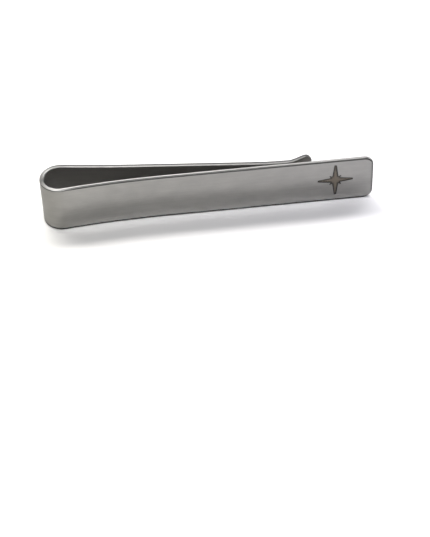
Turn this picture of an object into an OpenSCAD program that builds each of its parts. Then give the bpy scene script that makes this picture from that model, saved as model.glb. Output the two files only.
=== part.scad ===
// A slide-on tie clip, bent into a hairpin from one strip of stainless sheet.
// It stands on its long edge. X runs along the bar to its free end, Y from the bar's front to the
// back of the clip, and Z up the height of the strip. The origin is on the surface that the clip
// stands on, under the middle of its length and level with the centre of its bend.
// Every stretch of the strip is a straight run or a round bend, so its faces are true planes,
// cylinders and rounds.

/* [Strip] */
// Height of the strip, from one long edge to the other
strip_w = 8.5; // [7.5:0.1:12]
// Thickness of the strip
strip_t = 0.75; // [0.65:0.05:1.1]
// Radius of the rounding along every edge of the strip
arris_r = 0.2; // [0.05:0.01:0.3]

/* [Front bar] */
// Length of the clip, from the outside of the bend to the free end of the bar
clip_l = 54.3; // [48:0.1:66]
// Radius of the upper corner at the free end of the bar
bar_top_corner_r = 1.5; // [0.4:0.1:3]
// Radius of the lower corner at the free end of the bar
bar_foot_corner_r = 1.7; // [0.4:0.1:3]
// Radius of the shoulder, the shallow curve that carries the bar forward to the bend
shoulder_r = 158; // [80:1:400]
// Angle of the shoulder where it meets the bend, in degrees
shoulder_turn = 6; // [1:0.5:9]

/* [Spring bend] */
// Inside radius of the bend, which sets how far apart the bar and the arm start
bend_in_r = 2.5; // [1.8:0.1:4]

/* [Clamp arm] */
// Distance from the outside of the bend to the line where the arm bears on the bar
grip_x = 40.6; // [34:0.2:44]
// Gap left between the arm and the bar where they meet, so that the two never overlap
grip_gap = 0.04; // [0.02:0.01:0.3]
// Radius of the set, the slight curve in the arm where it leaves the bend
set_r = 275; // [150:5:600]
// Length of the set along the arm
set_l = 12; // [4:0.5:16]
// Radius of the landing, the long curve that lays the arm against the bar
landing_r = 50; // [20:1:70]

/* [Flared tip] */
// Inside radius of the knuckle, where the tip turns away from the bar
knuckle_in_r = 1.5; // [0.6:0.1:3]
// Angle of the tip to the bar, in degrees
tip_turn = 23; // [10:1:40]
// Length of the flat of the tip, up to its end
tip_l = 3.3; // [2.6:0.1:6]
// Radius of the two corners at the end of the tip
tip_corner_r = 1.3; // [0.4:0.1:2.4]

/* [Star] */
// Distance from the free end of the bar to the centre of the star
star_inset = 6.25; // [4.5:0.05:14]
// Height of the star's centre above the middle of the strip
star_rise = 0.2; // [-0.3:0.05:0.3]
// Length of the star from its left point to its right point
star_across = 5.8; // [3:0.1:7]
// Length of the star from its bottom point to its top point
star_high = 6.4; // [3:0.1:6.8]
// Distance from the star's centre to the root of each long ray
star_root_r = 0.78; // [0.6:0.02:1]
// Width of a long ray at its root
star_root_w = 1; // [0.6:0.05:1.15]
// Width of a long ray at its blunt point
star_tip_w = 0.38; // [0.1:0.02:0.5]
// Distance from the star's centre to each of the four short points between the rays
star_short_r = 1.33; // [1.1:0.01:1.5]
// Width of a short point at its blunt end
star_short_w = 0.16; // [0.05:0.01:0.3]
// Depth of the etched recess below the face of the bar
etch_depth = 0.09; // [0.05:0.01:0.15]
// Thickness of the dark oxide on the floor of the recess
oxide_t = 0.04; // [0.02:0.005:0.045]

/* [Hidden] */
$fa = 0.5;
$fs = 0.04;

steel = [0.66, 0.655, 0.64];
steel_bend = [0.6, 0.595, 0.585];
steel_arm = [0.7, 0.69, 0.67];
oxide = [0.26, 0.23, 0.21];

half_turn = 180;
quarter_turn = 90;
// Overrun of a cut past the face that it opens through
overrun = 0.2;
half_t = strip_t / 2;
bend_r = bend_in_r + half_t;
bend_out_r = bend_in_r + strip_t;
knuckle_r = knuckle_in_r + half_t;

// Plan of the clip, seen from above, with x = 0 at the outside of the bend and y = 0 on the front
// face of the bar. Each place is on the middle of the strip's thickness.
bar_y = half_t;
bend_x = bend_out_r;
shoulder_x = bend_x + (shoulder_r + bend_r) * sin(shoulder_turn);
bend_y = bar_y - shoulder_r + (shoulder_r + bend_r) * cos(shoulder_turn);
bar_run = clip_l - shoulder_x;

// The arm leaves the bend, takes its set, runs straight and curves down onto the bar. Its straight
// stretch is the inside tangent of two circles: one is the landing, and the other has the centre of
// the bend and a radius that allows for the set.
set_turn = set_l / set_r * half_turn / PI;
grip_y = bar_y + strip_t + grip_gap;
tangent_r = (bend_r + set_r) * cos(set_turn) - set_r;
to_landing = [grip_x - bend_x, grip_y + landing_r - bend_y];
centres_apart = norm(to_landing);
tangent_slope = asin((tangent_r + landing_r) / centres_apart);
arm_turn = tangent_slope - atan2(to_landing[1], to_landing[0]);
arm_start = (bend_r + set_r) * sin(set_turn);
arm_run = centres_apart * cos(tangent_slope) - arm_start;
bend_turn = half_turn + shoulder_turn + arm_turn + set_turn;

tip_x = grip_x + knuckle_r * sin(tip_turn);
tip_y = grip_y + knuckle_r * (1 - cos(tip_turn));

star_x = clip_l - star_inset;
star_z = strip_w / 2 + star_rise;

// Part of the strip's section, lying along x: its far end has the two rounded arrises.
module edge_profile(reach) {
    translate([0, -half_t]) square([reach - arris_r, strip_t]);
    translate([0, arris_r - half_t]) square([reach, strip_t - 2 * arris_r]);
    for (side = [-1, 1])
        translate([reach - arris_r, side * (half_t - arris_r)]) circle(arris_r);
}

// Section of the strip, across its thickness in x and up its height in y.
module strip_section() {
    translate([arris_r - half_t, 0]) square([strip_t - 2 * arris_r, strip_w]);
    translate([-half_t, arris_r]) square([strip_t, strip_w - 2 * arris_r]);
    for (side = [-1, 1])
        for (y = [arris_r, strip_w - arris_r])
            translate([side * (half_t - arris_r), y]) circle(arris_r);
}

// A straight run of the strip along +x, from x = 0.
module run(len) {
    rotate([quarter_turn, 0, quarter_turn]) linear_extrude(height = len) strip_section();
}

// A bend that starts at x = 0, curving towards +y or, with side = -1, towards -y. With way = 1 it
// runs on along +x, and with way = -1 it runs back along -x.
module bend(r, turn, side = 1, way = 1) {
    translate([0, side * r, 0])
        rotate([0, 0, -side * quarter_turn])
            rotate_extrude(angle = side * way * turn)
                translate([r, 0]) strip_section();
}

// The upper half of a straight run along +x, or with side = -1 the lower half.
module half_run(len, side) {
    translate([0, 0, strip_w / 2])
        rotate([quarter_turn, 0, quarter_turn])
            linear_extrude(height = len) rotate(side * quarter_turn) edge_profile(strip_w / 2);
}

// A straight run along +x whose end has two rounded corners, with the arris carried round them.
module rounded_run(len, top_r, foot_r) {
    half_run(len - top_r, 1);
    half_run(len - foot_r, -1);
    larger_r = max(top_r, foot_r);
    translate([len - larger_r, 0, foot_r])
        linear_extrude(height = strip_w - top_r - foot_r) edge_profile(larger_r);
    for (corner = [[foot_r, foot_r, 1], [top_r, strip_w - top_r, -1]])
        translate([len - corner[0], 0, corner[1]])
            rotate([-quarter_turn, 0, 0])
                rotate_extrude(angle = corner[2] * quarter_turn) edge_profile(corner[0]);
}

// Outline of the star: four long rays with blunt points, and a short point between each two. Each
// quarter of it is worked out as if its ray lay along x, and then turned into place.
function turned(p, a) = [p[0] * cos(a) - p[1] * sin(a), p[0] * sin(a) + p[1] * cos(a)];
function ray(reach) = [
    [star_root_r, -star_root_w / 2],
    [reach, -star_tip_w / 2],
    [reach, star_tip_w / 2],
    [star_root_r, star_root_w / 2]
];
short_point = [
    turned([star_short_r, -star_short_w / 2], quarter_turn / 2),
    turned([star_short_r, star_short_w / 2], quarter_turn / 2)
];
star_reaches = [star_across / 2, star_high / 2, star_across / 2, star_high / 2];
star_outline = [
    for (i = [0:3])
        for (p = concat(ray(star_reaches[i]), short_point))
            turned(p, i * quarter_turn)
];

// The star stands upright in the plan frame, with its front at the given depth behind the face.
module star(front, thickness) {
    translate([star_x, front + thickness, star_z])
        rotate([quarter_turn, 0, 0]) linear_extrude(height = thickness) polygon(star_outline);
}

// Moves the plan of the clip to its place over the origin.
module placed() {
    translate([-clip_l / 2, -bend_y, 0]) children();
}

module front_bar() {
    color(steel) placed() difference() {
        translate([shoulder_x, bar_y, 0]) {
            rounded_run(bar_run, bar_top_corner_r, bar_foot_corner_r);
            bend(shoulder_r, shoulder_turn, side = -1, way = -1);
        }
        star(-overrun, overrun + etch_depth);
    }
}

module star_mark() {
    color(oxide) placed() star(etch_depth - oxide_t, oxide_t);
}

module spring_bend() {
    color(steel_bend) placed()
        translate([bend_x, bend_y, 0])
            rotate([0, 0, shoulder_turn - quarter_turn])
                rotate_extrude(angle = -bend_turn)
                    translate([bend_r, 0]) strip_section();
}

module clamp_arm() {
    color(steel_arm) placed()
        translate([bend_x, bend_y, 0]) rotate([0, 0, -arm_turn])
            translate([arm_start, tangent_r, 0]) {
                bend(set_r, set_turn, way = -1);
                run(arm_run);
                translate([arm_run, 0, 0]) bend(landing_r, arm_turn);
            }
}

module flared_tip() {
    color(steel_arm) placed()
        translate([tip_x, tip_y, 0]) rotate([0, 0, tip_turn]) {
            bend(knuckle_r, tip_turn, way = -1);
            rounded_run(tip_l, tip_corner_r, tip_corner_r);
        }
}

front_bar();
star_mark();
spring_bend();
clamp_arm();
flared_tip();
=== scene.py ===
# %% [markdown]
# A tie clip, bent from one strip of satin steel.
# The clip is a hairpin: a long front bar, a round spring bend, and a shorter arm that presses on
# the back of the bar. It stands on its long edge on a white table, and a small star is etched near
# the bar's free end. This script dresses the finished construction: it starts by loading the
# construction as a fixed frame, and every piece made here lies in that frame, in metres.

# %% Load the frame
import collections
import math

import bmesh
import bpy
import mathutils
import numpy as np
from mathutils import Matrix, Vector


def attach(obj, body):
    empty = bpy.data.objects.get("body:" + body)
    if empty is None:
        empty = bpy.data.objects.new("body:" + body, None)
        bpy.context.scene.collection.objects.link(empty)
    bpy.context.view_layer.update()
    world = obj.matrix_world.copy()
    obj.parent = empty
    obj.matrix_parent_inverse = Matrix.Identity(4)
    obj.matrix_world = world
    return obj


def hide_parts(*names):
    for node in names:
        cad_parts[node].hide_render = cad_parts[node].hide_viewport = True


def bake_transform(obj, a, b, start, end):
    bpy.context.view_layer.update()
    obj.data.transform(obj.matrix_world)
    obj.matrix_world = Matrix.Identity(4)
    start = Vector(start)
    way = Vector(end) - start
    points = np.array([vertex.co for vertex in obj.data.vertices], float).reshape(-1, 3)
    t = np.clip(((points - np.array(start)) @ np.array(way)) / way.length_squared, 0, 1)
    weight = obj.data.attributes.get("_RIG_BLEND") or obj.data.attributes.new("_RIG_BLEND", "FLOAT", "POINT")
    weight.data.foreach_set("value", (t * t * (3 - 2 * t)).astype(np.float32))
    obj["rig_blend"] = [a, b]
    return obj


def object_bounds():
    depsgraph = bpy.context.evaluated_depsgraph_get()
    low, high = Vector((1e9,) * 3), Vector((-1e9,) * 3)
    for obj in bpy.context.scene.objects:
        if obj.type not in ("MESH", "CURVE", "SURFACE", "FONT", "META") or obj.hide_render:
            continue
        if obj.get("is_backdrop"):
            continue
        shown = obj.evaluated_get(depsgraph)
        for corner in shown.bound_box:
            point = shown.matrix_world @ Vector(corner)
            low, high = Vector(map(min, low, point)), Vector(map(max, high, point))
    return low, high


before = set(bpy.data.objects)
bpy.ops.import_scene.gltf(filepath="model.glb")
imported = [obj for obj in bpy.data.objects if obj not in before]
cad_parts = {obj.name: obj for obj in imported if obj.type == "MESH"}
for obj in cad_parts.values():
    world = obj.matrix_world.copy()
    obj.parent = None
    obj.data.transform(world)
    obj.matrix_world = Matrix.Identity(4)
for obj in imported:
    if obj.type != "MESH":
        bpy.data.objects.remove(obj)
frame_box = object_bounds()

# One millimetre in Blender's metres
MM = 0.001


def in_mm(points):
    """Points in metres as rounded millimetres, for printing."""
    return [[round(c / MM, 3) for c in point] for point in points]


print("nodes:", sorted(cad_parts))
print("the frame's box, mm:", in_mm(frame_box))

# %% [markdown]
# The sizes of the strip, in millimetres and degrees.
# A clip like this has very few sizes. The strip has a height, a thickness and the small radius of
# its edges, and the rest says where it is straight and how tightly it bends. A radius is hard to
# read back from a mesh, so the sizes that the construction was drawn with are written once more
# here. Each is written only once and has a name, and that keeps all the pieces in step.

# %% Sizes of the strip
# The strip itself: its height, its thickness, and the radius of the rounding along its edges
strip_w = 8.5
strip_t = 0.75
arris_r = 0.2

# The bar: the whole clip's length, the two corners of the free end, and the shallow shoulder
clip_l = 54.3
bar_top_corner_r = 1.5
bar_foot_corner_r = 1.7
shoulder_r = 158
shoulder_turn = 6

# The bend, the place where the arm bears on the bar, and the gap that is left between them there
bend_in_r = 2.5
grip_x = 40.6
grip_gap = 0.04

# The arm: its slight set next to the bend, and the long curve that lands it on the bar
set_r = 275
set_l = 12
landing_r = 50

# The tip: its knuckle, its angle, the length of its flat, and its corners
knuckle_in_r = 1.5
tip_turn = 23
tip_l = 3.3
tip_corner_r = 1.3

# Worked out from these
half_t = strip_t / 2
bend_r = bend_in_r + half_t
bend_out_r = bend_in_r + strip_t
knuckle_r = knuckle_in_r + half_t

print("the strip is", strip_w, "mm high and", strip_t, "mm thick")

# %% [markdown]
# The plan of the clip.
# Seen from above, the middle of the strip's thickness draws one line: straight along the bar, a
# shallow shoulder, the round bend, the arm with its slight set, the landing on the bar, the knuckle
# and the flat of the tip. The arm's slope isn't a size of its own. It could be tried out until the
# arm meets the bar, but it can also be worked out exactly: the arm's straight run is the inside
# tangent of two circles, one round the centre of the bend and one for the landing.

# %% Work out the arm's slope and the bend's turn
QUARTER_TURN = 90
HALF_TURN = 180


def sin(degrees):
    return math.sin(math.radians(degrees))


def cos(degrees):
    return math.cos(math.radians(degrees))


shoulder_x = bend_out_r + (shoulder_r + bend_r) * sin(shoulder_turn)
bend_y = half_t - shoulder_r + (shoulder_r + bend_r) * cos(shoulder_turn)
bar_run = clip_l - shoulder_x

set_turn = math.degrees(set_l / set_r)
tangent_r = (bend_r + set_r) * cos(set_turn) - set_r
landing_dx = grip_x - bend_out_r
landing_dy = half_t + strip_t + grip_gap + landing_r - bend_y
centres_apart = math.hypot(landing_dx, landing_dy)
tangent_slope = math.degrees(math.asin((tangent_r + landing_r) / centres_apart))
arm_turn = tangent_slope - math.degrees(math.atan2(landing_dy, landing_dx))
arm_run = centres_apart * cos(tangent_slope) - (bend_r + set_r) * sin(set_turn)
bend_turn = HALF_TURN + shoulder_turn + arm_turn + set_turn

print("slope of the arm:", round(arm_turn, 3), "degrees; turn of the bend:", round(bend_turn, 2))

# %% [markdown]
# The path of the strip.
# The line could be drawn as a curve object, but its curves only come near to true circles. A chain
# of straight legs and arcs is exact, and it can be followed like a road: each leg has a length and
# a turn to the left, and it starts where the one before it ended, with the same heading. So the
# path can't have a gap or a kink. It begins at the bar's free end and heads back towards the bend.
# A point of it is named by its distance u from there, which is also its place along the strip
# before it was bent.

# %% Follow the path
START = (clip_l / 2, half_t - bend_y, math.pi)
Leg = collections.namedtuple("Leg", "piece start length turn x y heading")


def arc_length(radius, turn):
    return radius * math.radians(turn)


# Each leg: the piece that it belongs to, its length, and how far it turns to the left in degrees
LEGS = [
    ("front_bar", bar_run, 0),
    ("front_bar", arc_length(shoulder_r, shoulder_turn), shoulder_turn),
    ("spring_bend", arc_length(bend_r, bend_turn), -bend_turn),
    ("clamp_arm", set_l, set_turn),
    ("clamp_arm", arm_run, 0),
    ("clamp_arm", arc_length(landing_r, arm_turn), arm_turn),
    ("flared_tip", arc_length(knuckle_r, tip_turn), tip_turn),
    ("flared_tip", tip_l, 0),
]


def advance(x, y, heading, length, turn):
    """Where a leg leads after its whole length: x, y and heading, with the turn in radians."""
    if turn == 0:
        return x + length * math.cos(heading), y + length * math.sin(heading), heading
    radius = length / turn
    end = heading + turn
    return (
        x + radius * (math.sin(end) - math.sin(heading)),
        y - radius * (math.cos(end) - math.cos(heading)),
        end,
    )


road = []
here = START
strip_length = 0
for piece_name, leg_length, leg_turn in LEGS:
    road.append(Leg(piece_name, strip_length, leg_length, math.radians(leg_turn), *here))
    here = advance(*here, leg_length, math.radians(leg_turn))
    strip_length += leg_length


def place_on_path(u):
    """x, y and heading of the strip's middle, u millimetres from the free end of the bar."""
    leg = next((leg for leg in reversed(road) if leg.start <= u), road[0])
    done = u - leg.start
    return advance(leg.x, leg.y, leg.heading, done, leg.turn * done / leg.length)


print("flat length of the strip:", round(strip_length, 2), "mm")
print("end of the tip:", [round(v, 3) for v in here[:2]])

# %% [markdown]
# The edge of the strip.
# A strip is punched from sheet, and then tumbled with stones until its sharp edges are round. That
# thin round, the arris, draws a light or a dark line along every edge, so it has to be real
# geometry. A Bevel modifier could round the edges, but it would also round the cuts between two
# pieces of the strip. Here one small profile is written down instead, and carried along every edge.
# A point of it says how far out it lies from the flat face, how far from the middle of the
# thickness, and which way its surface faces.

# %% Profile of a rounded edge
ARRIS_STEPS = 6


def edge_profile():
    """Points from the outer face, over the edge, to the inner face.

    Each point is (out, across, facing out, facing across).
    """
    points = []
    for side in (1, -1):
        for i in range(ARRIS_STEPS + 1):
            step = i if side == 1 else ARRIS_STEPS - i
            angle = QUARTER_TURN * step / ARRIS_STEPS
            out = arris_r * sin(angle)
            across = side * (half_t - arris_r + arris_r * cos(angle))
            points.append((out, across, sin(angle), side * cos(angle)))
    return points


# FACE and BACK are the points where the profile meets the outer and the inner face.
EDGE = edge_profile()
FACE = 0
BACK = len(EDGE) - 1
print("points across an edge:", len(EDGE))

# %% [markdown]
# Columns of the mesh.
# A mesh bends well only where it has points. The bend needs a column of them every few degrees to
# look round, and a straight run needs hardly any. An even spacing would be simpler, but it would
# waste most of its faces on the flats. So each leg of the path gets columns by its turn, and at
# least one every few millimetres.

# %% Columns along a piece
TURN_PER_COLUMN = 2.5
RUN_PER_COLUMN = 3.0
SAME_PLACE = 1e-6


def columns_of(piece_name):
    """Distances along the strip at which the named piece has a column of its mesh."""
    found = []
    for leg in road:
        if leg.piece != piece_name:
            continue
        by_turn = abs(math.degrees(leg.turn)) / TURN_PER_COLUMN
        count = max(1, math.ceil(max(by_turn, leg.length / RUN_PER_COLUMN)))
        for i in range(count + 1):
            u = leg.start + leg.length * i / count
            if not found or u - found[-1] > SAME_PLACE:
                found.append(u)
    return found


print("columns of the bend:", len(columns_of("spring_bend")))

# %% [markdown]
# The flat blank.
# The real maker cuts a flat blank first and bends it afterwards, and that order helps here too.
# A blank is drawn in three plain numbers: u along the strip, z up its height, and s through its
# thickness, towards the outer face. Each long edge is a list of stations, which are the places
# where the edge profile stands. A rounded corner is a quarter of a circle of stations. Where two
# pieces of the strip meet, the blank ends in a plain square cut.

# %% Stations of the long edges
CORNER_STEPS = 12
CORNER_CLEARANCE = 0.2


def corner_stations(centre_u, radius, first, last):
    """A rounded corner of the top edge, as stations: (u, z, facing along u, facing up)."""
    inner = radius - arris_r
    made = []
    for i in range(CORNER_STEPS + 1):
        angle = first + (last - first) * i / CORNER_STEPS
        z = strip_w - radius + inner * sin(angle)
        made.append((centre_u + inner * cos(angle), z, cos(angle), sin(angle)))
    return made


def long_edge(start, between, end, start_r, end_r):
    """Stations along one long edge, drawn as the top one. A corner with a radius is rounded."""
    made = []
    if start_r:
        made += corner_stations(start + start_r, start_r, HALF_TURN, QUARTER_TURN)
    else:
        made.append((start, strip_w - arris_r, 0, 1))
    made += [(u, strip_w - arris_r, 0, 1) for u in between]
    if end_r:
        made += corner_stations(end - end_r, end_r, QUARTER_TURN, 0)
    else:
        made.append((end, strip_w - arris_r, 0, 1))
    return made


def both_edges(columns, start_corners, end_corners):
    """Stations of the top edge and of the foot edge. Each end has a top and a foot corner radius."""
    low = columns[0] + max(start_corners) + CORNER_CLEARANCE
    high = columns[-1] - max(end_corners) - CORNER_CLEARANCE
    between = [u for u in columns if low < u < high]
    return [
        long_edge(columns[0], between, columns[-1], start_r, end_r)
        for start_r, end_r in zip(start_corners, end_corners)
    ]


print("stations round a corner:", len(corner_stations(0, tip_corner_r, QUARTER_TURN, 0)))

# %% [markdown]
# Points and faces.
# Faces could be drawn by hand in edit mode, but a script that names its points can also say which
# way each of them faces. The Blank class gathers both. A point keeps its place in the blank and the
# exact direction of its surface there, for smooth shading. A face is either curved, and shaded with
# those directions, or flat, and shaded as a plane.

# %% Gather points and faces
class Blank:
    """Points and faces of a flat blank. A point faces straight out unless told otherwise."""

    def __init__(self):
        self.points = []
        self.facing = []
        self.faces = []
        self.flat = []
        self.window_rim = []

    def point(self, u, z, s, facing=(0, 0, 1)):
        self.points.append((u, z, s))
        self.facing.append(facing)
        return len(self.points) - 1

    def face(self, *corners, flat=False):
        self.faces.append(corners)
        self.flat.append(flat)

    def edge_row(self, station, mirrored=False):
        """The points of the edge profile at one station of the top edge, or of the foot edge."""
        u, z, out_u, out_z = station
        if mirrored:
            z, out_z = strip_w - z, -out_z
        return [
            self.point(u + out * out_u, z + out * out_z, s, (f_out * out_u, f_out * out_z, f_s))
            for out, s, f_out, f_s in EDGE
        ]

    def bridge(self, row, next_row):
        """Faces between two neighbouring rows of the edge."""
        for k in range(len(row) - 1):
            self.face(row[k], next_row[k], next_row[k + 1], row[k + 1])


test_row = Blank().edge_row((0, strip_w - arris_r, 0, 1))
print("points in one row of the edge:", len(test_row))

# %% [markdown]
# A closed blank.
# The two faces of the blank are ladders of quads between the rows of the top and of the foot. An
# end with rounded corners is closed by more of the rounded edge, and a square cut by one flat face.
# The Solidify modifier could give a sheet its thickness, but it knows nothing of this edge. Where
# something is to be cut into the outer face, a window is left open between two columns, and the
# blank remembers the points round it.

# %% Close a blank
SQUARE_END = (0, 0)


def make_blank(columns, start_corners=SQUARE_END, end_corners=SQUARE_END, window=None):
    """A closed flat blank. Between the window's two distances its outer face stays open."""
    blank = Blank()
    stations, foot_stations = both_edges(columns, start_corners, end_corners)
    top = [blank.edge_row(station) for station in stations]
    bottom = [blank.edge_row(station, mirrored=True) for station in foot_stations]
    open_spans = []
    for i in range(len(stations) - 1):
        blank.bridge(top[i], top[i + 1])
        blank.bridge(bottom[i + 1], bottom[i])
        blank.face(top[i][BACK], top[i + 1][BACK], bottom[i + 1][BACK], bottom[i][BACK])
        middle = (stations[i][0] + stations[i + 1][0]) / 2
        if window and window[0] < middle < window[1]:
            open_spans.append(i)
        else:
            blank.face(top[i + 1][FACE], top[i][FACE], bottom[i][FACE], bottom[i + 1][FACE])
    for end, corners in ((0, start_corners), (-1, end_corners)):
        if any(corners):
            blank.bridge(top[end], bottom[end])
        else:
            blank.face(*top[end], *reversed(bottom[end]), flat=True)
    if window:
        rim = range(open_spans[0], open_spans[-1] + 2)
        blank.window_rim = [top[i][FACE] for i in rim] + [bottom[i][FACE] for i in reversed(rim)]
    return blank


print("faces of the bend's blank:", len(make_blank(columns_of("spring_bend")).faces))

# %% [markdown]
# Bending the blank.
# A real strip is bent round a mandrel. A Curve modifier could do it here, but it would only come
# near to the true arcs. Instead each point of the blank moves to its exact place on the path: u
# picks the spot and the heading there, s steps sideways from the middle of the thickness, and z
# stays the height. The direction that the surface faces turns with it. The construction's bend is
# made of small flats, so its box is up to 0.003 mm smaller than the true round, and the few points
# that would pass it are held at its border.

# %% Bend points and directions
def held_in_box(point):
    low, high = frame_box
    return tuple(min(max(c, a), b) for c, a, b in zip(point, low, high))


def bent_point(u, z, s):
    """The place of a blank's point in the frame, in metres."""
    x, y, heading = place_on_path(u)
    return held_in_box((
        (x - s * math.sin(heading)) * MM,
        (y + s * math.cos(heading)) * MM,
        z * MM,
    ))


def bent_direction(u, facing):
    along, up, across = facing
    heading = place_on_path(u)[2]
    return (
        along * math.cos(heading) - across * math.sin(heading),
        along * math.sin(heading) + across * math.cos(heading),
        up,
    )


ends = [bent_point(u, strip_w / 2, 0) for u in (0, strip_length)]
print("the two ends of the strip, mm:", in_mm(ends))

# %% [markdown]
# From a blank to an object.
# The bent points become a mesh. Smooth shading could be left to Blender, but it averages the faces
# on both sides of a cut, and the cut would show. With the exact directions as custom normals, the
# light runs over it as if the strip were whole. Two things are kept for the materials: the point's
# place in the flat blank, where the grain of the steel runs straight, and its rim number, which
# rises from 0 on the faces to 1 on top of the edge.

# %% Make a blank an object
def add_object(name, data):
    made = bpy.data.objects.new(name, data)
    bpy.context.scene.collection.objects.link(made)
    return made


def face_outwards(mesh):
    work = bmesh.new()
    work.from_mesh(mesh)
    bmesh.ops.recalc_face_normals(work, faces=work.faces)
    work.to_mesh(mesh)
    work.free()


def keep_number(mesh, name, values):
    layer = mesh.attributes.new(name, "FLOAT", "POINT")
    layer.data.foreach_set("value", values)


def keep_place(mesh, name, places):
    layer = mesh.attributes.new(name, "FLOAT_VECTOR", "POINT")
    layer.data.foreach_set("vector", [c for place in places for c in place])


def bent_object(blank, name):
    """The blank as a mesh object, bent to the clip's shape."""
    mesh = bpy.data.meshes.new(name)
    mesh.from_pydata([bent_point(*p) for p in blank.points], [], blank.faces)
    face_outwards(mesh)
    keep_place(mesh, "blank_place", blank.points)
    keep_number(mesh, "rim", [math.hypot(f[0], f[1]) for f in blank.facing])
    mesh.shade_smooth()
    directions = [bent_direction(p[0], f) for p, f in zip(blank.points, blank.facing)]
    corners = []
    for polygon, flat in zip(mesh.polygons, blank.flat):
        corners += [polygon.normal if flat else directions[v] for v in polygon.vertices]
    mesh.normals_split_custom_set(corners)
    print(name, "has", len(mesh.vertices), "points and", len(mesh.polygons), "faces")
    return add_object(name, mesh)


# %% [markdown]
# The outline of the star.
# The mark is a small compass star with four long rays, whose points are blunt where the laser
# turned round, and four short points between them. All its corners could be listed, but one quarter
# of the outline is enough: its ray is written as if it lay along one axis, and turned into place
# four times.

# %% Outline of the star
# Distance from the free end, height over the strip's middle, and the star's own width and height
star_inset = 6.25
star_rise = 0.2
star_across = 5.8
star_high = 6.4

# A long ray at its root and at its blunt point, and a short point between two rays
star_root_r = 0.78
star_root_w = 1.0
star_tip_w = 0.38
star_short_r = 1.33
star_short_w = 0.16

STAR_U = star_inset
STAR_Z = strip_w / 2 + star_rise


def turned(point, degrees):
    a, b = point
    return a * cos(degrees) - b * sin(degrees), a * sin(degrees) + b * cos(degrees)


def star_outline():
    """The outline round the star's centre, as points (along u, up)."""
    outline = []
    for quarter in range(4):
        reach = (star_across if quarter % 2 == 0 else star_high) / 2
        ray = [
            (star_root_r, -star_root_w / 2),
            (reach, -star_tip_w / 2),
            (reach, star_tip_w / 2),
            (star_root_r, star_root_w / 2),
        ]
        short_point = [
            turned((star_short_r, -star_short_w / 2), QUARTER_TURN / 2),
            turned((star_short_r, star_short_w / 2), QUARTER_TURN / 2),
        ]
        outline += [turned(p, QUARTER_TURN * quarter) for p in ray + short_point]
    return outline


STAR = star_outline()
print("the star's outline has", len(STAR), "corners")

# %% [markdown]
# The front bar.
# The bar is the piece that everybody sees. It is flat for most of its length, with rounded corners
# at its free end, and the laser has burnt the star a tenth of a millimetre into it. A modifier
# could cut the recess with a solid star, but it would spoil the exact normals. So the face is left
# open between two columns, and the gap is filled with triangles round the star. The recess has its
# own upright walls and a flat floor.

# %% Make the front bar
STAR_MARGIN = 1.2
etch_depth = 0.09


def cut_star(blank):
    """Fills the window in the bar's face round the star, and sinks the star's recess."""
    face_s = half_t
    floor_s = half_t - etch_depth
    brim = [blank.point(STAR_U + a, STAR_Z + b, face_s) for a, b in STAR]
    foot = [blank.point(STAR_U + a, STAR_Z + b, floor_s) for a, b in STAR]
    centre = blank.point(STAR_U, STAR_Z, floor_s)
    loops = [blank.window_rim, brim]
    flat_loops = [[(*blank.points[i][:2], 0) for i in loop] for loop in loops]
    in_order = [i for loop in loops for i in loop]
    for triangle in mathutils.geometry.tessellate_polygon(flat_loops):
        blank.face(*[in_order[i] for i in triangle], flat=True)
    for i in range(len(STAR)):
        j = (i + 1) % len(STAR)
        blank.face(brim[i], brim[j], foot[j], foot[i], flat=True)
        blank.face(foot[i], foot[j], centre, flat=True)


star_reach = star_across / 2 + STAR_MARGIN
bar_blank = make_blank(
    columns_of("front_bar"),
    start_corners=(bar_top_corner_r, bar_foot_corner_r),
    window=(STAR_U - star_reach, STAR_U + star_reach),
)
cut_star(bar_blank)
front_bar = bent_object(bar_blank, "bar")
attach(front_bar, "bar")
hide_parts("front_bar")
print("the star's centre is", STAR_U, "mm from the free end, and its floor", etch_depth, "mm deep")

# %% [markdown]
# The spring bend.
# The bend is the clip's spring. When the arm is pulled away, all the movement is in this half
# circle, and nothing slides or pivots. If it simply rode on one side, it would tear off the other.
# So it blends from the bar to the arm: its points follow the bar at one end and the arm at the
# other, and turn smoothly in between about the hinge, which lies at the centre of the round.

# %% Make the spring bend
bend_blank = make_blank(columns_of("spring_bend"))
spring_bend = bent_object(bend_blank, "bend")
bend_leg = next(leg for leg in road if leg.piece == "spring_bend")
bend_start = bent_point(bend_leg.start, strip_w / 2, 0)
bend_end = bent_point(bend_leg.start + bend_leg.length, strip_w / 2, 0)
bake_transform(spring_bend, "bar", "arm", start=bend_start, end=bend_end)
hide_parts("spring_bend")
print("start and end of the bend, mm:", in_mm((bend_start, bend_end)))

# %% [markdown]
# The clamp arm and the flared tip.
# The arm leaves the bend with a slight inward set, runs straight, and curves down onto the bar in
# a long landing. Just past the line where it touches, a small knuckle turns the tip outward, so
# that a tie slides in under it. The tip's corners are rounded as the bar's are. Both could be one
# piece, since they move together, but a maker names them apart. The same helpers make them.

# %% Make the clamp arm and the flared tip
clamp_arm = bent_object(make_blank(columns_of("clamp_arm")), "arm")
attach(clamp_arm, "arm")
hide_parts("clamp_arm")

tip_blank = make_blank(columns_of("flared_tip"), end_corners=(tip_corner_r, tip_corner_r))
flared_tip = bent_object(tip_blank, "tip")
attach(flared_tip, "arm")
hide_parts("flared_tip")
print("the arm bears on the bar", grip_x, "mm from the outside of the bend")

# %% [markdown]
# How burnt the star is.
# The laser goes round the star's outline first and then fills the inside, so the metal is burnt
# darkest along the outline and in the narrow points, which the outline passes twice. A painted
# picture could show that, but it is simpler to measure: the nearer a point lies to the outline,
# the more it is burnt.

# %% Measure the distance to the outline
BURN_WIDTH = 0.23


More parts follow.
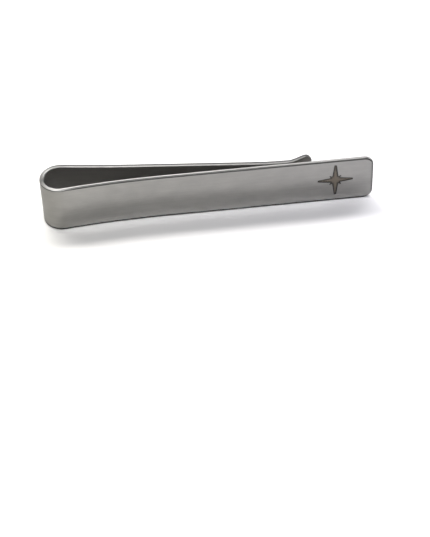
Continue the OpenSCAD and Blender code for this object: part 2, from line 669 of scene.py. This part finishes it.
def distance_to_outline(point):
    shortest = math.inf
    for i, start in enumerate(STAR):
        end = STAR[(i + 1) % len(STAR)]
        side = mathutils.Vector(end) - mathutils.Vector(start)
        to_point = mathutils.Vector(point) - mathutils.Vector(start)
        share = min(1, max(0, to_point.dot(side) / side.length_squared))
        shortest = min(shortest, (to_point - side * share).length)
    return shortest


def burn_at(point):
    """1 on the outline, fading towards 0 away from it."""
    return math.exp(-distance_to_outline(point) / BURN_WIDTH)


print("burn at the star's centre:", round(burn_at((0, 0)), 3))

# %% [markdown]
# The oxide in the star.
# The laser leaves a thin brown-grey oxide on the floor of the recess. It could be painted on the
# bar's own floor, but on the real clip it is a layer with a thickness, so it is a thin closed piece.
# Its top is meshed in rings that shrink towards the centre, which gives points enough to keep how
# burnt each place is.

# %% Make the oxide of the star
RING_SHARES = (1.0, 0.93, 0.85, 0.74, 0.6, 0.4, 0.2)
SIDE_STEPS = 6
oxide_t = 0.04


def along_outline(outline, steps):
    """The outline with each of its sides divided into as many steps."""
    made = []
    for i, (a, b) in enumerate(outline):
        next_a, next_b = outline[(i + 1) % len(outline)]
        made += [(a + (next_a - a) * k / steps, b + (next_b - b) * k / steps) for k in range(steps)]
    return made


def make_oxide():
    """The thin oxide as a closed blank, and how burnt each of its points is."""
    blank = Blank()
    outline = along_outline(STAR, SIDE_STEPS)
    floor_s = half_t - etch_depth
    top_s = floor_s + oxide_t
    rings = []
    burnt = []
    for share in RING_SHARES:
        ring = [(a * share, b * share) for a, b in outline]
        rings.append([blank.point(STAR_U + a, STAR_Z + b, top_s) for a, b in ring])
        burnt += [burn_at(point) for point in ring]
    centre = blank.point(STAR_U, STAR_Z, top_s)
    underside = [blank.point(STAR_U + a, STAR_Z + b, floor_s) for a, b in outline]
    under_centre = blank.point(STAR_U, STAR_Z, floor_s)
    burnt += [0] + [1] * len(underside) + [0]
    for i in range(len(outline)):
        j = (i + 1) % len(outline)
        for ring, inner in zip(rings, rings[1:]):
            blank.face(ring[i], ring[j], inner[j], inner[i], flat=True)
        blank.face(rings[-1][i], rings[-1][j], centre, flat=True)
        blank.face(rings[0][i], rings[0][j], underside[j], underside[i], flat=True)
        blank.face(underside[i], underside[j], under_centre, flat=True)
    return blank, burnt


oxide_blank, oxide_burnt = make_oxide()
star_mark = bent_object(oxide_blank, "star")
keep_number(star_mark.data, "burnt", oxide_burnt)
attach(star_mark, "bar")
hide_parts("star_mark")
print("the oxide is", oxide_t, "mm thick and lies", round(etch_depth - oxide_t, 3), "mm deep")

# %% [markdown]
# Nodes for materials.
# A material is a small graph of nodes. Some read what the mesh's points keep, others reckon with
# it, and the last one is the shader. It could be clicked together in the shader editor, but a
# script can say in words what each step is for. These helpers make a material, add a node with its
# settings, and feed an input with a plain value or with what another node gives.

# %% Add nodes and feed them
def new_material(name):
    material = bpy.data.materials.new(name)
    material.use_nodes = True
    return material, material.node_tree


def add_node(tree, kind, **settings):
    node = tree.nodes.new(kind)
    for name, value in settings.items():
        setattr(node, name, value)
    return node


def feed(tree, socket, value):
    """Links an output to the socket, or sets the socket to a plain number or colour."""
    if isinstance(value, bpy.types.NodeSocket):
        tree.links.new(value, socket)
    elif isinstance(value, tuple):
        socket.default_value = (*value, 1)
    else:
        socket.default_value = value


def read_points(tree, name, output="Fac"):
    """What the mesh's points keep under this name."""
    return add_node(tree, "ShaderNodeAttribute", attribute_name=name).outputs[output]


print("kept by the star's points:", sorted(star_mark.data.attributes.keys()))

# %% [markdown]
# Reckoning in nodes.
# Three kinds of step are enough for all the finishes here. A value that runs over one span is
# mapped to another, two values are added, multiplied or compared, and two colours or numbers are
# mixed by a share. Relief is a fourth: the grain is far too fine to be modelled, so a Bump node
# turns the light on the surface a little, as the scratches would.

# %% Map, reckon, mix and raise
def map_range(tree, value, span, to=(0, 1)):
    """The value where it runs over the span, turned into one that runs over the second span."""
    node = add_node(tree, "ShaderNodeMapRange")
    ends = {"From Min": span[0], "From Max": span[1], "To Min": to[0], "To Max": to[1]}
    for name, number in ends.items():
        node.inputs[name].default_value = number
    tree.links.new(value, node.inputs["Value"])
    return node.outputs["Result"]


def maths(tree, operation, first, second):
    node = add_node(tree, "ShaderNodeMath", operation=operation)
    feed(tree, node.inputs[0], first)
    feed(tree, node.inputs[1], second)
    return node.outputs["Value"]


def mix(tree, kind, share, first, second):
    node = add_node(tree, "ShaderNodeMix", data_type=kind)
    feed(tree, node.inputs["Factor"], share)
    feed(tree, node.inputs["A"], first)
    feed(tree, node.inputs["B"], second)
    return node.outputs["Result"]


def mix_colours(tree, share, first, second):
    return mix(tree, "RGBA", share, first, second)


def mix_numbers(tree, share, first, second):
    return mix(tree, "FLOAT", share, first, second)


def add_relief(tree, shader, height, strength, depth):
    """Relief that follows the height, with its depth in millimetres."""
    bump = add_node(tree, "ShaderNodeBump")
    feed(tree, bump.inputs["Strength"], strength)
    bump.inputs["Distance"].default_value = depth * MM
    tree.links.new(height, bump.inputs["Height"])
    tree.links.new(bump.outputs["Normal"], shader.inputs["Normal"])


# %% [markdown]
# Finishes that follow the strip.
# Rolling, brushing and bending all run along the strip, so its finish is easiest to describe on the
# flat blank. Each point kept its place there, and two helpers read it. One is a noise, which can be
# drawn out along the strip. The other is a ramp over the strip's whole length, for a tone that
# changes from the bar's free end to the tip. A painted texture could hold the same, but it would
# need an unwrapped mesh.

# %% Noise and ramps along the strip
FIRST_STOPS = 2


def noise(tree, stretch, detail, roughness=0.5):
    """A noise over the blank. The stretch is how fast it changes along, up and through, per mm."""
    place = add_node(tree, "ShaderNodeVectorMath", operation="MULTIPLY")
    tree.links.new(read_points(tree, "blank_place", "Vector"), place.inputs[0])
    place.inputs[1].default_value = stretch
    node = add_node(tree, "ShaderNodeTexNoise")
    tree.links.new(place.outputs["Vector"], node.inputs["Vector"])
    for name, value in (("Scale", 1), ("Detail", detail), ("Roughness", roughness)):
        node.inputs[name].default_value = value
    return node.outputs["Fac"]


def along_strip(tree, along, stops, tint=(1, 1, 1)):
    """A tone that changes along the strip. Each stop is (distance from the bar's free end, tone)."""
    node = add_node(tree, "ShaderNodeValToRGB")
    elements = node.color_ramp.elements
    for index, (distance, tone) in enumerate(stops):
        share = distance / strip_length
        # A new ramp has its first two stops already.
        element = elements[index] if index < FIRST_STOPS else elements.new(share)
        element.position = share
        element.color = (*[tone * t for t in tint], 1)
    tree.links.new(map_range(tree, along, (0, strip_length)), node.inputs["Fac"])
    return node.outputs["Color"]


print("a ramp is", round(strip_length, 1), "mm long")

# %% [markdown]
# Satin steel: the tone of the faces.
# The strip is brushed along its length with a fine abrasive. That leaves fine lines of slightly
# different greys, many times longer than they are wide, and handling leaves faint clouds over them.
# One grey with a bump could pass for it from afar, but close up the lines differ in tone too. So the tone is
# the mean of two noises, one of them drawn out along the strip. Shade is painted into it as well: the face
# is painted a little lighter near its foot than near its top, to even out what it mirrors, the table's
# shadow near the foot and the lit table near the top. It is also a little darker at the free end. Inside the
# hairpin the sheet is painted paler, as painted light that lifts the shade there.

# %% Tone of the faces
STEEL_DARK = (0.218, 0.213, 0.199)
STEEL_LIGHT = (0.264, 0.258, 0.24)
# Painted light: the tone inside the hairpin, paler to lift the shade there
INSIDE_PAINTED_LIGHTER = (0.34, 0.333, 0.323)
TONE_SPREAD = (0.35, 0.65)

# Painted shade: heights in mm, and the share of the tone that the face has at each, lighter near the foot
# and darker near the top
FOOT_AND_TOP = (1.5, 7)
HEIGHT_SHADE_SHARES = (1.06, 0.92)
FREE_END_SHARES = ((0, 0.9), (8, 0.95), (16, 1.0))


def face_tone(tree, grain, clouds, along, up, inside):
    half_grain = maths(tree, "MULTIPLY", grain, 0.5)
    half_clouds = maths(tree, "MULTIPLY", clouds, 0.5)
    mean = maths(tree, "ADD", half_grain, half_clouds)
    brushed = mix_colours(tree, map_range(tree, mean, TONE_SPREAD), STEEL_DARK, STEEL_LIGHT)
    # Painted shade by height: lighter near the foot, darker near the top
    by_height = map_range(tree, up, FOOT_AND_TOP, HEIGHT_SHADE_SHARES)
    by_length = along_strip(tree, along, FREE_END_SHARES)
    uneven = add_node(tree, "ShaderNodeVectorMath", operation="SCALE")
    tree.links.new(brushed, uneven.inputs["Vector"])
    tree.links.new(maths(tree, "MULTIPLY", by_height, by_length), uneven.inputs["Scale"])
    # Inside the hairpin the tone is painted paler, to lift the shade
    return mix_colours(tree, inside, uneven.outputs["Vector"], INSIDE_PAINTED_LIGHTER)


print("grey of the faces, from", STEEL_DARK[0], "to", STEEL_LIGHT[0], "and", INSIDE_PAINTED_LIGHTER[0], "inside")

# %% [markdown]
# Satin steel: the rim.
# The strip's edges were punched and tumbled, so they are round. The rim is drawn as two bands. Towards the
# outer face, starting with the rounded arris, a dark band is painted shade: it stands for the dark room that
# the rounded edge would mirror, and draws the dark line along every edge. The band is only a third of a
# millimetre wide, and what shows is its tone. On top of the edge, the bright band's tone rises and falls
# along the strip as painted highlights, where the rim catches the light. So both bands are ramps along the
# strip, because their tone and width change slowly from end to end, and most of all round the bend. At the
# free end the painted shade laps faintly onto the face. Along the foot a painted contact shadow reaches a
# little way up, and draws a thin dark line above the table.

# %% Bands of the rim
# The bright band: its tint, and its tone at distances from the bar's free end in mm. Its rises and falls are
# painted highlights
RIM_TINT = (1, 0.992, 0.975)
RIM_TONES_AND_GLINTS = (
    (0, 0.2), (0.5, 0.28), (14, 0.3), (28, 0.44), (47, 0.42), (52, 0.49),
    (55.3, 0.09), (57.8, 0.33), (60, 0.19), (62, 0.24), (78, 0.23), (90, 0.17),
)

# The dark band, painted shade along the edge: its colour, how wide it is, how softly it ends, and how
# strongly it shows
EDGE_PAINTED_SHADE = (0.075, 0.075, 0.074)
EDGE_SHADE_WIDTHS = ((0, 0.175), (0.25, 0.175), (0.6, 0.3), (8, 0.3), (20, 0.42), (42, 0.46))
EDGE_SHADE_FADE = 0.12
EDGE_SHADE_SHARES = ((0, 1.0), (49, 1.0), (52, 0.4), (58.5, 0.4), (61, 1.0))

# Its start, in rim numbers, and its lap onto the face, in mm from the bar's free end
ARRIS_STARTS = (0, 0.3)
END_LAP = (0.42, 0.3)
END_LAP_SHARE = 0.5

# The painted contact shadow along the foot: its colour, and the heights in mm between which it ends
PAINTED_FOOT_SHADOW = (0.02, 0.02, 0.02)
FOOT_SHADOW_FADE = (0.26, 0.38)


def painted_edge_shade(tree, along, through, rim):
    """How much a point belongs to the dark band of painted shade along the edge, from 0 to 1."""
    from_face = maths(tree, "SUBTRACT", through, half_t)
    into_band = maths(tree, "ADD", from_face, along_strip(tree, along, EDGE_SHADE_WIDTHS))
    band = map_range(tree, into_band, (0, EDGE_SHADE_FADE))
    lap = map_range(tree, along, END_LAP, (0, END_LAP_SHARE))
    on_edge = maths(tree, "MAXIMUM", map_range(tree, rim, ARRIS_STARTS), lap)
    band = maths(tree, "MULTIPLY", band, on_edge)
    return maths(tree, "MULTIPLY", band, along_strip(tree, along, EDGE_SHADE_SHARES))


print("the dull band is", EDGE_SHADE_WIDTHS[0][1], "to", EDGE_SHADE_WIDTHS[-1][1], "mm wide")

# %% [markdown]
# Satin steel: how it shines.
# Brushed faces don't mirror the room but smear it. Between the scratches small flat tops are left,
# and these give a second, clearer reflection that is strongest at a flat angle. Two mixed shaders
# could do this, but one is simpler: a rough metal for the scratches, and a thin smooth coat that
# stands in for the flat tops. Where there are no flat tops there is no coat: inside the hairpin, on
# the rim, and for the most part on the stretched outside of the bend. The grain that gives the tone
# also gives the roughness and a very slight relief, so that the three agree.

# %% Roughness and flat tops
FACE_ROUGHNESS = (0.33, 0.43)
RIM_ROUGHNESS = (0.4, 0.46)
GRAIN_SPREAD = (0.3, 0.7)
CLOUD_SPREAD = (0.35, 0.65)
INSIDE_ROUGHER = 1.7
TOPS_LEFT = ((0, 1.0), (49, 1.0), (53, 0.2), (58, 0.2), (61, 1.0))


def strip_roughness(tree, grain, clouds, inside, on_rim):
    face = map_range(tree, grain, GRAIN_SPREAD, FACE_ROUGHNESS)
    face = maths(tree, "MULTIPLY", face, map_range(tree, inside, (0, 1), (1, INSIDE_ROUGHER)))
    return mix_numbers(tree, on_rim, face, map_range(tree, clouds, CLOUD_SPREAD, RIM_ROUGHNESS))


def flat_tops(tree, along, *bare_places):
    """How many flat tops are left: none in the bare places, and few round the bend."""
    bare = bare_places[0]
    for place in bare_places[1:]:
        bare = maths(tree, "MAXIMUM", bare, place)
    tops = map_range(tree, bare, (0, 1), (1, 0))
    return maths(tree, "MULTIPLY", tops, along_strip(tree, along, TOPS_LEFT))


print("roughness of the faces:", FACE_ROUGHNESS, "and of the rim:", RIM_ROUGHNESS)

# %% [markdown]
# Satin steel: put together.
# On the real clip the four pieces are one strip. Each could have a material of its own, but the
# least difference would show at the cuts, so they share one. It first splits a point's place in
# the blank into its three numbers, and from these and the rim number it works out where the
# inside, the foot and the bands are. Then the tones are laid over each other in the order in which
# they cover the steel.

# %% Make the satin steel
# How fast the two noises change along, up and through the strip, per mm
GRAIN_STRETCH = (0.12, 9, 9)
CLOUD_STRETCH = (0.35, 0.6, 0.6)

# The relief, and the rim numbers over which it ends and the rim's own roughness starts
GRAIN_RELIEF = 0.08
GRAIN_DEPTH = 0.02
RELIEF_ENDS = (0, 0.15)
RIM_STARTS = (0, 0.5)

# The places through the strip, in mm from its middle, between which the inside's tone ends
INSIDE_FADE = (-0.3, -0.1)

# The metal's tint at a flat angle, and the coat that stands in for the flat tops
EDGE_TINT = (0.5, 0.5, 0.5)
COAT_ROUGHNESS = 0.14
COAT_IOR = 2.0


def satin_steel():
    material, tree = new_material("satin_steel")
    shader = tree.nodes["Principled BSDF"]
    feed(tree, shader.inputs["Metallic"], 1)
    feed(tree, shader.inputs["Specular Tint"], EDGE_TINT)
    feed(tree, shader.inputs["Coat Roughness"], COAT_ROUGHNESS)
    feed(tree, shader.inputs["Coat IOR"], COAT_IOR)

    place = add_node(tree, "ShaderNodeSeparateXYZ")
    tree.links.new(read_points(tree, "blank_place", "Vector"), place.inputs["Vector"])
    along, up, through = [place.outputs[axis] for axis in "XYZ"]
    rim = read_points(tree, "rim")
    grain = noise(tree, GRAIN_STRETCH, detail=4, roughness=0.6)
    clouds = noise(tree, CLOUD_STRETCH, detail=3)

    inside = map_range(tree, through, INSIDE_FADE, (1, 0))
    # Painted shadow: the dark contact line along the foot
    foot_shadow = map_range(tree, up, FOOT_SHADOW_FADE, (1, 0))
    # Painted shade: the dark band along the edges
    edge_shade = painted_edge_shade(tree, along, through, rim)
    on_rim = map_range(tree, rim, RIM_STARTS)

    colour = face_tone(tree, grain, clouds, along, up, inside)
    # Over the face tone go the rim's painted highlights, the painted shade along the edges, and the painted
    # contact shadow along the foot
    colour = mix_colours(tree, rim, colour, along_strip(tree, along, RIM_TONES_AND_GLINTS, RIM_TINT))
    colour = mix_colours(tree, edge_shade, colour, EDGE_PAINTED_SHADE)
    colour = mix_colours(tree, foot_shadow, colour, PAINTED_FOOT_SHADOW)
    roughness = strip_roughness(tree, grain, clouds, inside, on_rim)
    feed(tree, shader.inputs["Base Color"], colour)
    feed(tree, shader.inputs["Roughness"], roughness)
    feed(tree, shader.inputs["Coat Weight"], flat_tops(tree, along, edge_shade, foot_shadow, inside, on_rim))
    relief = map_range(tree, rim, RELIEF_ENDS, (GRAIN_RELIEF, 0))
    add_relief(tree, shader, grain, relief, GRAIN_DEPTH)
    return material


steel = satin_steel()
for piece in (front_bar, spring_bend, clamp_arm, flared_tip):
    piece.data.materials.append(steel)
print("pieces of satin steel:", steel.users)

# %% [markdown]
# Burnt oxide.
# The floor of the star is brown-grey and dull, and it darkens towards the outline. The laser's
# passes leave it uneven. A dark paint would be flat and even, so the burn that the points keep is
# roughened by a fine noise before it picks the tone, and the same noise gives the relief.

# %% Make the burnt oxide
OXIDE_FLOOR = (0.205, 0.177, 0.142)
OXIDE_BURNT = (0.04, 0.037, 0.034)
OXIDE_METAL = 0.6
OXIDE_ROUGHNESS = 0.55
OXIDE_RELIEF = 0.3
OXIDE_DEPTH = 0.01
PASSES_STRETCH = (6, 14, 1)
PASSES_SHARE = 0.12
BURN_SPREAD = (0.14, 0.58)


def burnt_oxide():
    material, tree = new_material("etched_oxide")
    shader = tree.nodes["Principled BSDF"]
    feed(tree, shader.inputs["Metallic"], OXIDE_METAL)
    feed(tree, shader.inputs["Roughness"], OXIDE_ROUGHNESS)
    passes = noise(tree, PASSES_STRETCH, detail=3)
    uneven = map_range(tree, passes, GRAIN_SPREAD, (-PASSES_SHARE, PASSES_SHARE))
    burn = maths(tree, "ADD", read_points(tree, "burnt"), uneven)
    colour = mix_colours(tree, map_range(tree, burn, BURN_SPREAD), OXIDE_FLOOR, OXIDE_BURNT)
    feed(tree, shader.inputs["Base Color"], colour)
    add_relief(tree, shader, passes, OXIDE_RELIEF, OXIDE_DEPTH)
    return material


oxide = burnt_oxide()
star_mark.data.materials.append(oxide)
print("pieces of burnt oxide:", oxide.users)

# %% [markdown]
# The table.
# The clip stands on a plain white table. The table is much brighter than the steel, so it shows as
# pure white, and the only thing seen on it is the clip's soft shadow. Daylight from the right makes
# that shadow a little bluer there than at the left. Coloured lights could do it, but they would
# tint the steel as well, so the table's own white drifts very slightly from left to right.

# %% Make the table
# Half the table's width in metres, and how far to each side of the clip its white drifts
TABLE_HALF = 1.5
TINT_REACH = 27 * MM

TABLE_LEFT = (0.907, 0.9, 0.88)
TABLE_RIGHT = (0.9, 0.893, 0.93)
TABLE_ROUGHNESS = 0.7
TABLE_GLOSS = 0.2


def white_table():
    mesh = bpy.data.meshes.new("table")
    corners = [(x * TABLE_HALF, y * TABLE_HALF, 0) for x, y in ((-1, -1), (1, -1), (1, 1), (-1, 1))]
    mesh.from_pydata(corners, [], [(0, 1, 2, 3)])
    material, tree = new_material("white_table")
    shader = tree.nodes["Principled BSDF"]
    place = add_node(tree, "ShaderNodeSeparateXYZ")
    geometry = add_node(tree, "ShaderNodeNewGeometry")
    tree.links.new(geometry.outputs["Position"], place.inputs["Vector"])
    share = map_range(tree, place.outputs["X"], (-TINT_REACH, TINT_REACH))
    feed(tree, shader.inputs["Base Color"], mix_colours(tree, share, TABLE_LEFT, TABLE_RIGHT))
    feed(tree, shader.inputs["Roughness"], TABLE_ROUGHNESS)
    feed(tree, shader.inputs["Specular IOR Level"], TABLE_GLOSS)
    mesh.materials.append(material)
    return add_object("table", mesh)


table = white_table()
table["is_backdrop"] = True
print("the table is", round(table.dimensions.x, 1), "m wide")

# %% [markdown]
# The camera.
# The photograph looks down on the clip from about 29 cm away, at 45 degrees, with a small turn to
# the right and a slight tilt. These could be tried by eye, but the bar's corners and the round of
# the bend are enough to work them out. The lens follows from the size of the clip in the picture.
# The picture is upright, and there the sensor's size goes with the picture's height.

# %% Make the camera
# Angles in degrees, and the camera's place in millimetres
LOOK_DOWN = 45
TURN_RIGHT = 4.745
TILT = 2.209
CAMERA_PLACE = (-16.71, -210.71, 195.79)
NEAREST = 10 * MM

# The photograph's height and the lens's focal length in its pixels, and the sensor in millimetres
PICTURE_HIGH = 537
FOCAL_PIXELS = 1736
SENSOR = 36

turn_round = mathutils.Matrix.Rotation(math.radians(-TURN_RIGHT), 3, "Z")
pitch = mathutils.Matrix.Rotation(math.radians(QUARTER_TURN - LOOK_DOWN), 3, "X")
tilt = mathutils.Matrix.Rotation(math.radians(-TILT), 3, "Z")

lens = bpy.data.cameras.new("camera")
lens.sensor_width = SENSOR
lens.lens = FOCAL_PIXELS / PICTURE_HIGH * SENSOR
lens.clip_start = NEAREST
camera = add_object("camera", lens)
camera.location = [c * MM for c in CAMERA_PLACE]
camera.rotation_euler = (turn_round @ pitch @ tilt).to_euler()
bpy.context.scene.camera = camera
print("lens:", round(lens.lens, 1), "mm")

# %% [markdown]
# The light.
# The table is lit more than enough to turn white, so only the heart of the clip's shadow shows.
# One bare lamp would draw that shadow hard, but it is soft and falls forward. So its light is wide
# and comes from behind: three softboxes hang in an arc behind the clip. One more, nearly overhead
# and a little in front, fills the shadow, and the smooth share of the bar's reflection throws its
# light back as a pale band along the bar's foot. Two low cards behind the clip brighten the ends
# of the shadow.

# %% Make the lights
# The point that the lights look at, how far away they hang, and their sizes, all in metres
AIM = mathutils.Vector((0, -0.004, 0.004))
LIGHT_DISTANCE = 0.7
BACK_BOX = (0.25, 0.1)
OVERHEAD_BOX = (0.3, 0.13)
CARD = (0.3, 0.3)

WARM = (1, 0.985, 0.955)
COOL = (0.99, 0.99, 1)
PLAIN = (1, 1, 1)


def softbox(name, azimuth, elevation, size, power, colour):
    """A flat light that looks at the clip. Azimuth 0 is on the camera's side, 180 behind the clip."""
    data = bpy.data.lights.new(name, "AREA")
    data.shape = "RECTANGLE"
    data.size, data.size_y = size
    data.energy = power
    data.color = colour
    away = mathutils.Vector(
        (sin(azimuth) * cos(elevation), -cos(azimuth) * cos(elevation), sin(elevation))
    )
    away.rotate(turn_round)
    light = add_object(name, data)
    light.location = AIM + away * LIGHT_DISTANCE
    light.rotation_euler = away.to_track_quat("Z", "Y").to_euler()
    print(name, "hangs", round(light.location.z, 2), "m high")


softbox("back left", azimuth=210, elevation=54, size=BACK_BOX, power=1.3, colour=WARM)
softbox("back right", azimuth=150, elevation=54, size=BACK_BOX, power=1.45, colour=COOL)
softbox("back top", azimuth=190, elevation=62, size=BACK_BOX, power=1.8, colour=WARM)
softbox("overhead", azimuth=0, elevation=79, size=OVERHEAD_BOX, power=2.55, colour=PLAIN)
softbox("card left", azimuth=230, elevation=15, size=CARD, power=3.6, colour=WARM)
softbox("card right", azimuth=130, elevation=15, size=CARD, power=1.8, colour=COOL)

# %% [markdown]
# The room.
# Bare steel shows whatever is round it. The room is nearly dark, and that keeps the inside of the
# hairpin and the lines along the edges dark. It could be one flat grey, but a little more light
# from behind and above keeps the back of the clip readable.

# %% Make the room
ROOM_BRIGHT = (0.05, 0.05, 0.053)
ROOM_DARK = (0.02, 0.02, 0.021)

# The direction of the bright side, and how nearly a view has to point there to be dark or bright
BRIGHT_SIDE = (0.08, 0.8, 0.6)
ROOM_FADE = (-0.3, 0.45)

world = bpy.data.worlds.new("room")
bpy.context.scene.world = world
world.use_nodes = True
room = world.node_tree
direction = add_node(room, "ShaderNodeTexCoord")
towards_light = add_node(room, "ShaderNodeVectorMath", operation="DOT_PRODUCT")
towards_light.inputs[1].default_value = BRIGHT_SIDE
room.links.new(direction.outputs["Generated"], towards_light.inputs[0])
brightness = map_range(room, towards_light.outputs["Value"], ROOM_FADE)
room_colour = mix_colours(room, brightness, ROOM_DARK, ROOM_BRIGHT)
feed(room, room.nodes["Background"].inputs["Color"], room_colour)
print("brightness of the room, from", ROOM_DARK[0], "to", ROOM_BRIGHT[0])

# %% [markdown]
# How the picture is shown.
# Blender's usual way of showing light holds very bright tones back, and the table would turn grey.
# The Standard one shows each tone as it is and clips what is brighter than white, as an overexposed
# photograph does. The renderer also blurs reflections that it meets by way of a dull surface, to
# save time. The pale band on the table is such a reflection, so that blur is switched off.

# %% Set how the picture is shown
scene = bpy.context.scene
scene.view_settings.view_transform = "Standard"
scene.cycles.blur_glossy = 0
print("shown as", scene.view_settings.view_transform)

# %% [markdown]
# The last check.
# The dressed clip may not be larger than its construction. The eye can't see a hundredth of a
# millimetre, so both boxes are measured, written down and compared. No number in the last line may
# be above zero.

# %% Write the boxes and finish
dressed_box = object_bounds()
print("the dressed box, mm:", in_mm(dressed_box))

past_frame = [
    max(frame_low - dressed_low, dressed_high - frame_high)
    for frame_low, frame_high, dressed_low, dressed_high in zip(*frame_box, *dressed_box)
]
print("past the frame's box, mm:", in_mm([past_frame])[0])
